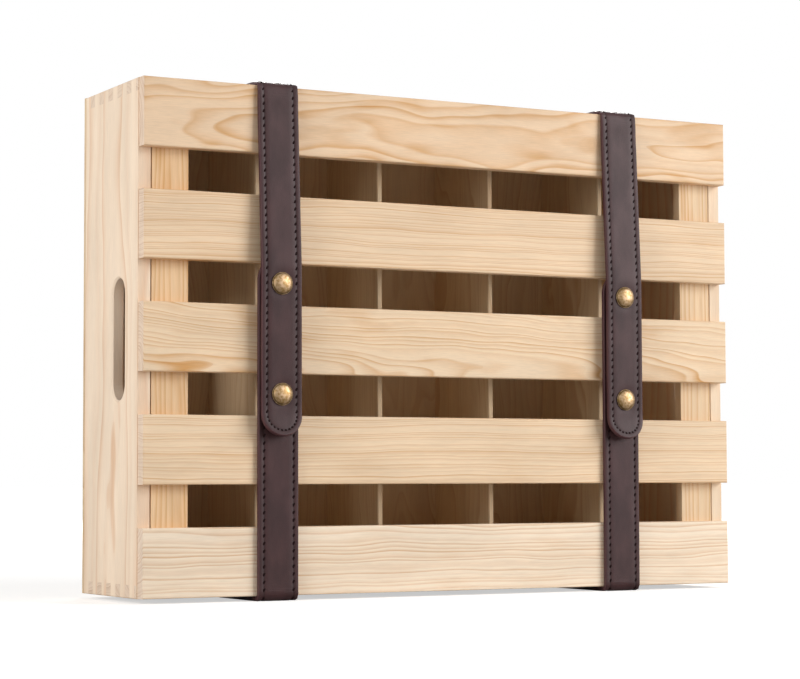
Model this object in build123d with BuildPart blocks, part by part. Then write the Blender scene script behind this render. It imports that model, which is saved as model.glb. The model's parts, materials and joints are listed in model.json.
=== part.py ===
"""Slatted pine wine crate, closed by two stitched leather straps with press studs.

The crate stands upright on its straps. Its open front faces -Y, its width runs along X and +Z is up.
The origin is the bottom centre of the whole object. All sizes are in millimetres.
"""

from build123d import *

import os

# Box of four boards, finger jointed at the corners, with a thin panel on its back edges
crate_width = 477.0
crate_height = 350.0
frame_depth = 98.5
board = 9.0
back_thickness = 4.0
finger_count = 6
finger_width = 8.2
eased_edge = 0.6

# Hand slot through each side board
hand_slot_length = 83.4
hand_slot_width = 23.0
hand_slot_setback = 35.3
hand_slot_outer_ease = 1.2
hand_slot_inner_ease = 1.0

# Dividers, slid from the back into stopped grooves of the top and bottom boards
divider_thickness = 4.0
divider_setback = 18.3
middle_compartment = 87.6
next_compartment = 92.2
groove_depth = 3.0
groove_fit = 0.1
groove_float = 0.3

# Lift-off lid: slats stapled from behind to two battens that sit inside the opening
slat_count = 5
slat_height = 46.8
slat_thickness = 8.8
slat_end_inset = 0.5
slat_edge_round = 1.0
batten_width = 26.5
batten_thickness = 8.0
batten_clearance = 1.0

# Staples of the lid and of the back panel, pressed flush, with chisel points
staple_crown = 10.6
staple_wire = 1.2
staple_wire_flat = 1.0
staple_point = 1.2
staple_fit = 0.05
lid_staple_leg = 14.0
lid_staple_step = 13.0
back_staple_leg = 18.0
back_staples_across = 5
back_staples_up = 3
back_staple_end_distance = 30.5
back_staple_step_z = 100.0

# Leather straps, each pinned over the crate from top to bottom, with a free end above and below
strap_spacing = 280.0
strap_width = 30.0
leather = 3.2
strap_standoff = 0.3
flap_tip_past_stud = 29.2
flap_slant_start = 14.0
flap_flat_margin = 4.2
flap_tip_curl = 4.0
flap_bow_radius = 60.0
flap_bend_length = 30.0
tail_tip_past_stud = 18.2
tail_bend_length = 56.0

# Press studs: a domed cap with its socket on the flap, and a stud riveted through the tail
stud_gap = 2.5
cap_radius = 7.7
cap_height = 3.2
cap_rim = 0.9
cap_bands = 3
cap_post_radius = 2.0
socket_radius = 5.7
socket_base = 0.35
stud_float = 0.2
nose_base_radius = 2.6
nose_tip_radius = 1.9
nose_side_fit = 0.5
nose_tip_fit = 0.25
flange_radius = 5.4
flange_thickness = 0.6
rivet_post_radius = 1.7
rivet_head_radius = 4.6
rivet_head = 0.8
post_fit = 0.1

# Pan head screws that pin each strap to the top board
screw_spacing = 14.0
screw_setback = 4.3
screw_head_radius = 5.0
screw_head = 2.0
screw_head_rim = 0.7
screw_shank_radius = 1.7
screw_bite = 7.5
screw_point = 2.5
screw_fit = 0.1
screw_cross_length = 4.6
screw_cross_width = 0.9
screw_cross_depth = 1.1

# Places that follow from the sizes above
bottom_z = leather
top_z = bottom_z + crate_height
middle_z = (bottom_z + top_z) / 2
inner_bottom_z = bottom_z + board
inner_top_z = top_z - board
half_width = crate_width / 2
inner_half_width = half_width - board

front_reach = strap_standoff + leather + stud_gap + leather + max(cap_height, flap_tip_curl)
back_reach = slat_thickness + frame_depth + back_thickness + leather
slat_front_y = (front_reach - back_reach) / 2
frame_front_y = slat_front_y + slat_thickness
frame_back_y = frame_front_y + frame_depth
frame_middle_y = (frame_front_y + frame_back_y) / 2
back_y = frame_back_y + back_thickness

finger_pitch = (frame_depth + finger_width / 2) / finger_count
side_finger_width = finger_pitch - finger_width
panel_finger_ys = [frame_front_y + i * finger_pitch for i in range(finger_count)]
side_finger_ys = [y + finger_pitch / 2 for y in panel_finger_ys]

inner_divider_x = (middle_compartment + divider_thickness) / 2
outer_divider_x = inner_divider_x + next_compartment + divider_thickness
divider_xs = [-outer_divider_x, -inner_divider_x, inner_divider_x, outer_divider_x]
divider_front_y = frame_front_y + divider_setback
divider_length = frame_back_y - divider_front_y

slat_top_z = top_z - strap_standoff
slat_pitch = (crate_height - 2 * strap_standoff - slat_height) / (slat_count - 1)
slat_zs = [slat_top_z - slat_height / 2 - i * slat_pitch for i in range(slat_count)]
batten_x = inner_half_width - batten_clearance - batten_width / 2
batten_back_y = frame_front_y + batten_thickness

strap_xs = {"left": -strap_spacing / 2, "right": strap_spacing / 2}
bend_inner = slat_edge_round + strap_standoff
bend_outer = bend_inner + leather
hinge_y = slat_front_y + slat_edge_round
flap_hinge_z = top_z - bend_inner
tail_hinge_z = bottom_z + bend_inner
tail_back_y = slat_front_y - strap_standoff
tail_front_y = tail_back_y - leather
flap_back_y = tail_front_y - stud_gap
flap_front_y = flap_back_y - leather
flap_split_z = flap_hinge_z - flap_bend_length
tail_split_z = tail_hinge_z + tail_bend_length
upper_stud_z = (slat_zs[1] + slat_zs[2]) / 2
lower_stud_z = (slat_zs[2] + slat_zs[3]) / 2
stud_zs = [upper_stud_z, lower_stud_z]
tail_tip_z = upper_stud_z + tail_tip_past_stud
flap_tip_z = lower_stud_z - flap_tip_past_stud

socket_height = stud_gap - flange_thickness - stud_float
recess_radius = nose_base_radius + nose_side_fit
nose_height = socket_height - socket_base + stud_float - nose_tip_fit
screw_y = frame_front_y + screw_setback
screw_xs = [x + side * screw_spacing / 2 for x in strap_xs.values() for side in (-1, 1)]


def save(block, label):
    """Labels a finished piece and writes its STEP file."""
    block.part.label = label
    export_step(block.part, f"parts/{label}.step")


def make_staple(leg, fit):
    """A staple with its crown along X, its back at z = 0 and its legs down. A fit above 0 gives its cut."""
    half = staple_crown / 2 + fit
    inside = staple_crown / 2 - staple_wire - fit
    with BuildPart() as staple:
        with BuildSketch(Plane.XZ):
            with BuildLine():
                Polyline(
                    (-half, 0),
                    (half, 0),
                    (half, staple_point - leg),
                    (inside, -leg - 2 * fit),
                    (inside, -staple_wire - fit),
                    (-inside, -staple_wire - fit),
                    (-inside, -leg - 2 * fit),
                    (-half, staple_point - leg),
                    close=True,
                )
            make_face()
        extrude(amount=staple_wire_flat / 2 + fit, both=True)
    return staple.part


def facing_back(x, y, z, crown):
    """A place on a face that looks towards +Y, for a staple whose crown lies along a direction."""
    return Plane((x, y, z), x_dir=crown, z_dir=(0, 1, 0))


lid_staple_places = [
    facing_back(side * (batten_x + turn * lid_staple_step / 2), batten_back_y, z, (0, 0, 1))
    for side in (-1, 1)
    for z in slat_zs
    for turn in (-1, 1)
]
lid_staple = make_staple(lid_staple_leg, 0)
lid_staple_cut = make_staple(lid_staple_leg, staple_fit)

back_staple_reach = half_width - back_staple_end_distance
back_staple_pitch = 2 * back_staple_reach / (back_staples_across - 1)
back_staple_rise = (back_staples_up - 1) / 2 * back_staple_step_z
back_staple_places = [
    facing_back(i * back_staple_pitch - back_staple_reach, back_y, z, (1, 0, 0))
    for i in range(back_staples_across)
    for z in (bottom_z + board / 2, top_z - board / 2)
] + [
    facing_back(x, back_y, middle_z - back_staple_rise + i * back_staple_step_z, (0, 0, 1))
    for i in range(back_staples_up)
    for x in (board / 2 - half_width, half_width - board / 2)
]
back_staple = make_staple(back_staple_leg, 0)
back_staple_cut = make_staple(back_staple_leg, staple_fit)

os.makedirs("parts", exist_ok=True)

# Top and bottom boards: fingers at both ends, the first one cut in half by the front edge
for label, outer_z, inner_z in (
    ("top_panel", top_z, inner_top_z),
    ("bottom_panel", bottom_z, inner_bottom_z),
):
    panel_z = (outer_z + inner_z) / 2
    end_xs = (board / 2 - half_width, half_width - board / 2)
    with BuildPart() as panel:
        with Locations((0, frame_middle_y, panel_z)):
            Box(crate_width, frame_depth, board)
        with Locations(*[(x, y, panel_z) for x in end_xs for y in side_finger_ys]):
            Box(board, side_finger_width, board, mode=Mode.SUBTRACT)
        with Locations(*[(x, frame_back_y - divider_length / 2, inner_z) for x in divider_xs]):
            Box(divider_thickness + 2 * groove_fit, divider_length, 2 * groove_depth, mode=Mode.SUBTRACT)
        finger_ends = panel.faces().filter_by(Axis.X).sort_by(Axis.X)
        outer_ends = finger_ends[:finger_count] + finger_ends[-finger_count:]
        corner_edges = outer_ends.edges().filter_by(Axis.Y).group_by(Axis.Z)
        chamfer(corner_edges[-1 if outer_z == top_z else 0], length=eased_edge)
        with Locations(*back_staple_places):
            add(back_staple_cut, mode=Mode.SUBTRACT)
        if outer_z == top_z:
            with Locations(*[(x, screw_y, top_z) for x in screw_xs]):
                Hole(screw_shank_radius + screw_fit, depth=screw_bite + screw_fit)
    save(panel, label)

# Side boards: notched for the fingers, with a rounded hand slot
slot_y = frame_front_y + hand_slot_setback
for label, side in (("left_side", -1), ("right_side", 1)):
    side_x = side * (half_width - board / 2)
    with BuildPart() as side_board:
        with Locations((side_x, frame_middle_y, middle_z)):
            Box(board, frame_depth, crate_height)
        notch_zs = (bottom_z + board / 2, top_z - board / 2)
        with Locations(*[(side_x, y, z) for z in notch_zs for y in panel_finger_ys]):
            Box(board, finger_width, board, mode=Mode.SUBTRACT)
        outer_edges = side_board.edges().filter_by(Axis.Y).group_by(Axis.X)[0 if side < 0 else -1]
        corner_edges = outer_edges.group_by(Axis.Z)
        chamfer(corner_edges[0] + corner_edges[-1], length=eased_edge)
        with BuildSketch(Plane.YZ.offset(side_x)):
            with Locations((slot_y, middle_z)):
                SlotOverall(hand_slot_length, hand_slot_width, rotation=90)
        extrude(amount=board, both=True, mode=Mode.SUBTRACT)
        broad_faces = side_board.faces().filter_by(Axis.X).sort_by(SortBy.AREA)[-2:].sort_by(Axis.X)
        inner_face, outer_face = broad_faces if side > 0 else reversed(broad_faces)
        chamfer(outer_face.inner_wires().edges(), length=hand_slot_outer_ease)
        chamfer(inner_face.inner_wires().edges(), length=hand_slot_inner_ease)
        with Locations(*back_staple_places):
            add(back_staple_cut, mode=Mode.SUBTRACT)
    save(side_board, label)

# Back panel, stapled over the back edges
with BuildPart() as back_panel:
    with Locations((0, frame_back_y + back_thickness / 2, middle_z)):
        Box(crate_width, back_thickness, crate_height)
    chamfer(back_panel.faces().sort_by(Axis.Y)[-1].edges(), length=eased_edge)
    with Locations(*back_staple_places):
        add(back_staple_cut, mode=Mode.SUBTRACT)
save(back_panel, "back_panel")

with BuildPart() as back_staples:
    with Locations(*back_staple_places):
        add(back_staple)
save(back_staples, "back_staples")

# Dividers
divider_height = inner_top_z - inner_bottom_z + 2 * (groove_depth - groove_float)
for number, divider_x in enumerate(divider_xs, start=1):
    with BuildPart() as divider:
        with Locations((divider_x, frame_back_y - divider_length / 2, middle_z)):
            Box(divider_thickness, divider_length, divider_height)
        chamfer(divider.faces().sort_by(Axis.Y)[0].edges().filter_by(Axis.Z), length=eased_edge)
    save(divider, f"divider_{number}")

# Lid: slats, counted from the top, and the battens behind them
for number, slat_z in enumerate(slat_zs, start=1):
    with BuildPart() as slat:
        with Locations((0, slat_front_y + slat_thickness / 2, slat_z)):
            Box(crate_width - 2 * slat_end_inset, slat_thickness, slat_height)
        fillet(slat.faces().sort_by(Axis.Y)[0].edges(), radius=slat_edge_round)
        with Locations(*lid_staple_places):
            add(lid_staple_cut, mode=Mode.SUBTRACT)
    save(slat, f"slat_{number}")

batten_height = inner_top_z - inner_bottom_z - 2 * batten_clearance
for label, side in (("left_batten", -1), ("right_batten", 1)):
    with BuildPart() as batten:
        with Locations((side * batten_x, frame_front_y + batten_thickness / 2, middle_z)):
            Box(batten_width, batten_thickness, batten_height)
        chamfer(batten.faces().sort_by(Axis.Y)[-1].edges(), length=eased_edge)
        with Locations(*lid_staple_places):
            add(lid_staple_cut, mode=Mode.SUBTRACT)
    save(batten, label)

with BuildPart() as lid_staples:
    with Locations(*lid_staple_places):
        add(lid_staple)
save(lid_staples, "lid_staples")

# Leather straps with their press studs
for strap, strap_x in strap_xs.items():
    strap_plane = Plane.YZ.offset(strap_x - strap_width / 2)

    # The pinned run: over the top, down the back and under the crate
    with BuildPart() as wrap:
        with BuildSketch(strap_plane):
            with BuildLine():
                Line((hinge_y, top_z), (hinge_y, top_z + leather))
                Line((hinge_y, top_z + leather), (back_y, top_z + leather))
                CenterArc((back_y, top_z), leather, 90, -90)
                Line((back_y + leather, top_z), (back_y + leather, bottom_z))
                CenterArc((back_y, bottom_z), leather, 0, -90)
                Line((back_y, bottom_z - leather), (hinge_y, bottom_z - leather))
                Line((hinge_y, bottom_z - leather), (hinge_y, bottom_z))
                Polyline((hinge_y, bottom_z), (back_y, bottom_z), (back_y, top_z), (hinge_y, top_z))
            make_face()
        extrude(amount=strap_width)
        with Locations(*[(x, screw_y, top_z + leather) for x in screw_xs]):
            Hole(screw_shank_radius + screw_fit, depth=leather)
    save(wrap, f"{strap}_strap_wrap")

    # The flap: a quarter bend over the lid's edge, then out over the tail to a round tip that curls away
    flap_route = [
        (tail_back_y, flap_hinge_z),
        (tail_back_y, flap_hinge_z - flap_slant_start),
        (flap_back_y, upper_stud_z + cap_radius + flap_flat_margin),
        (flap_back_y, lower_stud_z - cap_radius),
    ]
    flap_outer_route = [(y - leather, z) for y, z in flap_route]
    flap_tip = (flap_back_y - flap_tip_curl, flap_tip_z)
    flap_outer_tip = (flap_front_y - flap_tip_curl, flap_tip_z)
    with BuildPart() as hanging_end:
        with BuildSketch(strap_plane):
            with BuildLine():
                FilletPolyline(*flap_route, radius=flap_bow_radius)
                TangentArc(flap_route[-1], flap_tip, tangent=(0, -1))
                Line(flap_tip, flap_outer_tip)
                TangentArc(flap_outer_route[-1], flap_outer_tip, tangent=(0, -1))
                FilletPolyline(*flap_outer_route, radius=flap_bow_radius)
                CenterArc((hinge_y, flap_hinge_z), bend_outer, 90, 90)
                Line((hinge_y, top_z + leather), (hinge_y, top_z))
                CenterArc((hinge_y, flap_hinge_z), bend_inner, 90, 90)
            make_face()
        extrude(amount=strap_width)
        flap_outline_top = top_z + leather + strap_width
        with BuildSketch(Plane.XZ.offset(-hinge_y)):
            with Locations((strap_x, (flap_outline_top + flap_tip_z) / 2)):
                SlotOverall(flap_outline_top - flap_tip_z, strap_width, rotation=90)
        extrude(amount=2 * front_reach, both=True, mode=Mode.INTERSECT)
        with BuildSketch(Plane.XZ.offset(-hinge_y)):
            with Locations(*[(strap_x, z) for z in stud_zs]):
                Circle(cap_post_radius + post_fit)
        extrude(amount=2 * front_reach, both=True, mode=Mode.SUBTRACT)

    with BuildPart() as flap_bend:
        add(hanging_end.part)
        split(bisect_by=Plane.XY.offset(flap_split_z), keep=Keep.TOP)
    save(flap_bend, f"{strap}_flap_bend")

    with BuildPart() as flap:
        add(hanging_end.part)
        split(bisect_by=Plane.XY.offset(flap_split_z), keep=Keep.BOTTOM)
    save(flap, f"{strap}_flap")

    # The tail: a quarter bend under the lid's edge, then up against the slats to a round tip
    with BuildPart() as rising_end:
        with BuildSketch(strap_plane):
            with BuildLine():
                Line((tail_back_y, tail_hinge_z), (tail_back_y, tail_tip_z))
                Line((tail_back_y, tail_tip_z), (tail_front_y, tail_tip_z))
                Line((tail_front_y, tail_tip_z), (tail_front_y, tail_hinge_z))
                CenterArc((hinge_y, tail_hinge_z), bend_outer, 180, 90)
                Line((hinge_y, bottom_z - leather), (hinge_y, bottom_z))
                CenterArc((hinge_y, tail_hinge_z), bend_inner, 180, 90)
            make_face()
        extrude(amount=strap_width)
        tail_outline_bottom = bottom_z - leather - strap_width
        with BuildSketch(Plane.XZ.offset(-hinge_y)):
            with Locations((strap_x, (tail_tip_z + tail_outline_bottom) / 2)):
                SlotOverall(tail_tip_z - tail_outline_bottom, strap_width, rotation=90)
        extrude(amount=2 * front_reach, both=True, mode=Mode.INTERSECT)
        with BuildSketch(Plane.XZ.offset(-hinge_y)):
            with Locations(*[(strap_x, z) for z in stud_zs]):
                Circle(rivet_post_radius + post_fit)
        extrude(amount=2 * front_reach, both=True, mode=Mode.SUBTRACT)

    with BuildPart() as tail_bend:
        add(rising_end.part)
        split(bisect_by=Plane.XY.offset(tail_split_z), keep=Keep.BOTTOM)
    save(tail_bend, f"{strap}_tail_bend")

    with BuildPart() as tail:
        add(rising_end.part)
        split(bisect_by=Plane.XY.offset(tail_split_z), keep=Keep.TOP)
    save(tail, f"{strap}_tail")

    # Caps: dome outside the flap, in a few bands, post through it, socket ring on its inner face
    with BuildPart() as caps:
        for stud_z in stud_zs:
            with BuildSketch(Plane.YZ.offset(strap_x)):
                with BuildLine():
                    dome = TangentArc(
                        (flap_front_y - cap_height, stud_z),
                        (flap_front_y - cap_rim, stud_z + cap_radius),
                        tangent=(0, 1),
                        mode=Mode.PRIVATE,
                    )
                    Polyline(*[dome @ (i / cap_bands) for i in range(cap_bands + 1)])
                    Polyline(
                        (flap_front_y - cap_rim, stud_z + cap_radius),
                        (flap_front_y, stud_z + cap_radius),
                        (flap_front_y, stud_z + cap_post_radius),
                        (flap_back_y, stud_z + cap_post_radius),
                        (flap_back_y, stud_z + socket_radius),
                        (flap_back_y + socket_height, stud_z + socket_radius),
                        (flap_back_y + socket_height, stud_z + recess_radius),
                        (flap_back_y + socket_base, stud_z + recess_radius),
                        (flap_back_y + socket_base, stud_z),
                        (flap_front_y - cap_height, stud_z),
                    )
                make_face()
            revolve(axis=Axis((strap_x, 0, stud_z), (0, 1, 0)))
    save(caps, f"{strap}_snap_caps")

    # Studs: nose and flange outside the tail, post through it, rivet head in the gap between two slats
    with BuildPart() as studs:
        for stud_z in stud_zs:
            flange_y = tail_front_y - flange_thickness
            nose_y = flange_y - nose_height
            with BuildSketch(Plane.YZ.offset(strap_x)):
                with BuildLine():
                    Polyline(
                        (nose_y, stud_z),
                        (nose_y, stud_z + nose_tip_radius),
                        (flange_y, stud_z + nose_base_radius),
                        (flange_y, stud_z + flange_radius),
                        (tail_front_y, stud_z + flange_radius),
                        (tail_front_y, stud_z + rivet_post_radius),
                        (tail_back_y, stud_z + rivet_post_radius),
                        (tail_back_y, stud_z + rivet_head_radius),
                        (tail_back_y + rivet_head, stud_z + rivet_head_radius),
                        (tail_back_y + rivet_head, stud_z),
                        close=True,
                    )
                make_face()
            revolve(axis=Axis((strap_x, 0, stud_z), (0, 1, 0)))
    save(studs, f"{strap}_snap_studs")

# Screws, two through each strap into the top board
with BuildPart() as one_screw:
    with BuildSketch(Plane.XZ):
        with BuildLine():
            TangentArc((0, screw_head), (screw_head_radius, screw_head_rim), tangent=(1, 0))
            Polyline(
                (screw_head_radius, screw_head_rim),
                (screw_head_radius, 0),
                (screw_shank_radius, 0),
                (screw_shank_radius, screw_point - leather - screw_bite),
                (0, -leather - screw_bite),
                (0, screw_head),
            )
        make_face()
    revolve(axis=Axis.Z)
    with Locations((0, 0, screw_head)):
        Box(screw_cross_length, screw_cross_width, 2 * screw_cross_depth, mode=Mode.SUBTRACT)
        Box(screw_cross_width, screw_cross_length, 2 * screw_cross_depth, mode=Mode.SUBTRACT)

with BuildPart() as strap_screws:
    with Locations(*[(x, screw_y, top_z + leather) for x in screw_xs]):
        add(one_screw.part)
save(strap_screws, "strap_screws")
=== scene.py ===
"""Dresses the wine crate in pine, stitched leather, antique brass and steel on its CAD frame."""

from __future__ import annotations

import json
import logging
import math
from collections.abc import Iterator
from dataclasses import dataclass, replace
from enum import Enum
from functools import cache

import bmesh
import bpy
from bmesh.types import BMEdge, BMesh, BMVert
from bpy.types import ID, ColorRamp, Material, Node, NodeSocket, Object, ShaderNodeTree
from mathutils import Matrix, Vector

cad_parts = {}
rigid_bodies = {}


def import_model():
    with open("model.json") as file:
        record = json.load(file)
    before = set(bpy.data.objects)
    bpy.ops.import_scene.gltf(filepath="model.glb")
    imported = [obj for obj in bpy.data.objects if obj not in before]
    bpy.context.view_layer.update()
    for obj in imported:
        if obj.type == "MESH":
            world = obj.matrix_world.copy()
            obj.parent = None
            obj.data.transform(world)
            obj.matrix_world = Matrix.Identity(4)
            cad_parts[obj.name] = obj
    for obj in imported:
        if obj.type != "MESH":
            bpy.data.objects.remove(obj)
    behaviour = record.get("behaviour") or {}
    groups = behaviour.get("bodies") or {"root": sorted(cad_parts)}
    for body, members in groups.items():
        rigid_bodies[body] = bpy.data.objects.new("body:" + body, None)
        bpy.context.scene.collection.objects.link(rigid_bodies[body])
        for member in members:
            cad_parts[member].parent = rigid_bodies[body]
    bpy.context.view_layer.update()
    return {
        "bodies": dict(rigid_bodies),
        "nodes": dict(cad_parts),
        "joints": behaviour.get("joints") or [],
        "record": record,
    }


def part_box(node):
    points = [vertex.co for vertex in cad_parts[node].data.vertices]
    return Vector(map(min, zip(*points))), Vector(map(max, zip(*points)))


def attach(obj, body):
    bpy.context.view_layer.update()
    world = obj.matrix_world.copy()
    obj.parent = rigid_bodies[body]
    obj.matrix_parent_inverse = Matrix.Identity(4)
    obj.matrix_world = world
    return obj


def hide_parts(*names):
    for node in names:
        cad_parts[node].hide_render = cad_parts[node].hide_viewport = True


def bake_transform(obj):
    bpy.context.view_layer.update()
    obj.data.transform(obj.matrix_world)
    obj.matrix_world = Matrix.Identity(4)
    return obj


MM = 0.001
# Millimetres within which two places are the same, and within which doubled points are merged.
SAME = 1e-4
MERGE = 0.01
# A round corner is this much smaller than the room it has, so that no run between two has length 0.
SLACK = 0.01
# Sizes in millimetres that the straps and their caps share.
LEATHER_THICKNESS = 3.2
CAP_RADIUS = 7.7
log = logging.getLogger("wine_crate")


class Grain(Enum):
    """Way in which a board's fibres run: its direction, and the turn about Y that brings it onto X."""

    ACROSS = ((1, 0, 0), 0.0)
    UPRIGHT = ((0, 0, 1), math.pi / 2)

    def __init__(self, direction: tuple[int, int, int], turn: float) -> None:
        """Names the two parts of a member's value."""
        self.direction = direction
        self.turn = turn


class Side(Enum):
    """The two straps, by the word that their CAD nodes and bodies start with."""

    LEFT = "left"
    RIGHT = "right"

    def name_of(self, part: str) -> str:
        """Full name of a node or body of this strap."""
        return f"{self.value}_{part}"


def linear(colour: str) -> tuple[float, float, float, float]:
    """Turns a six-digit sRGB hex colour into linear RGBA.

    Args:
        colour: The hex digits, without a mark before them.

    Returns:
        Linear red, green and blue, and an alpha of 1.
    """
    channels = [int(colour[i : i + 2], 16) / 255 for i in (0, 2, 4)]
    decoded = [c / 12.92 if c <= 0.04045 else ((c + 0.055) / 1.055) ** 2.4 for c in channels]
    return (*decoded, 1.0)


def cells(size: tuple[float, ...]) -> tuple[float, ...]:
    """Scale of a Mapping node that makes the cells of a pattern as large as the given size."""
    return tuple(1 / length for length in size)


def bell(distance: float, reach: float) -> float:
    """Share that is 1 at no distance and falls smoothly, to almost nothing at twice the reach."""
    return math.exp(-((distance / reach) ** 2))


def box_mm(node: str) -> tuple[Vector, Vector]:
    """Lowest and highest corner of a CAD node in millimetres."""
    low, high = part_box(node)
    return Vector(low) / MM, Vector(high) / MM


def add_node(tree: ShaderNodeTree, kind: str, inputs: dict | None = None, **settings: object) -> Node:
    """Adds a shader node.

    Args:
        tree: The node tree of a material or the world.
        kind: The node type's identifier.
        inputs: What each input gets, by its name or number: a value, an output, or a node, which
            stands for the first output that it has in use.
        **settings: Properties of the node itself.

    Returns:
        The new node.
    """
    made = tree.nodes.new(kind)
    for name, value in settings.items():
        setattr(made, name, value)
    for key, value in (inputs or {}).items():
        if isinstance(value, Node):
            value = next(output for output in value.outputs if output.enabled)
        if isinstance(value, NodeSocket):
            tree.links.new(value, made.inputs[key])
        else:
            made.inputs[key].default_value = value
    return made


def set_ramp(ramp: ColorRamp, stops: tuple[tuple[float, float], ...]) -> None:
    """Puts grey stops on a ramp.

    Args:
        ramp: The ramp of a Color Ramp node.
        stops: Place and level of each stop.
    """
    while len(ramp.elements) < len(stops):
        ramp.elements.new(0.5)
    for element, (place, level) in zip(ramp.elements, stops):
        element.position = place
        element.color = (level, level, level, 1)


def add_object(name: str, data: ID) -> Object:
    """Puts an object into the scene.

    Args:
        name: The object's name.
        data: Its mesh, lamp or camera.

    Returns:
        The new object.
    """
    made = bpy.data.objects.new(name, data)
    bpy.context.scene.collection.objects.link(made)
    return made


def finish_mesh(work: BMesh, name: str) -> Object:
    """Turns finished mesh work into an object in the scene.

    Args:
        work: The mesh work, which is freed.
        name: Name of the mesh and the object.

    Returns:
        The new object.
    """
    mesh = bpy.data.meshes.new(name)
    work.to_mesh(mesh)
    work.free()
    return add_object(name, mesh)


def dress_node(frame: dict, node: str, material: Material) -> None:
    """Gives a CAD node its one material.

    Args:
        node: The node's name.
        material: The material.
    """
    mesh = frame["nodes"][node].data
    mesh.materials.clear()
    mesh.materials.append(material)
    log.info("%s dressed in %s", node, material.name)


class Finish:
    """What all finishes share: a material of their name, and the shader at the end of their nodes.

    The relief is the share of the bumps that shows and their height in millimetres.
    """

    name: str
    relief: tuple[float, float] = (0.0, 0.0)

    def material(self) -> Material:
        """Makes the material and lays out its nodes.

        Returns:
            The new material.
        """
        material = bpy.data.materials.new(self.name)
        material.use_nodes = True
        material.node_tree.nodes.clear()
        self.paint(material.node_tree)
        return material

    def paint(self, tree: ShaderNodeTree) -> None:
        """Lays out the nodes of this finish."""
        raise NotImplementedError

    def add_shader(self, tree: ShaderNodeTree, inputs: dict, height: Node | None = None) -> None:
        """Ends the nodes with the bumps, the principled shader and the output.

        Args:
            tree: The material's node tree.
            inputs: What the shader's inputs get, apart from its bumps.
            height: The node that gives the height of the bumps, if there are any.
        """
        if height is not None:
            share, depth = self.relief
            bumps = {"Height": height, "Strength": share, "Distance": depth * MM}
            inputs = inputs | {"Normal": add_node(tree, "ShaderNodeBump", bumps)}
        shader = add_node(tree, "ShaderNodeBsdfPrincipled", inputs)
        add_node(tree, "ShaderNodeOutputMaterial", {"Surface": shader})


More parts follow.
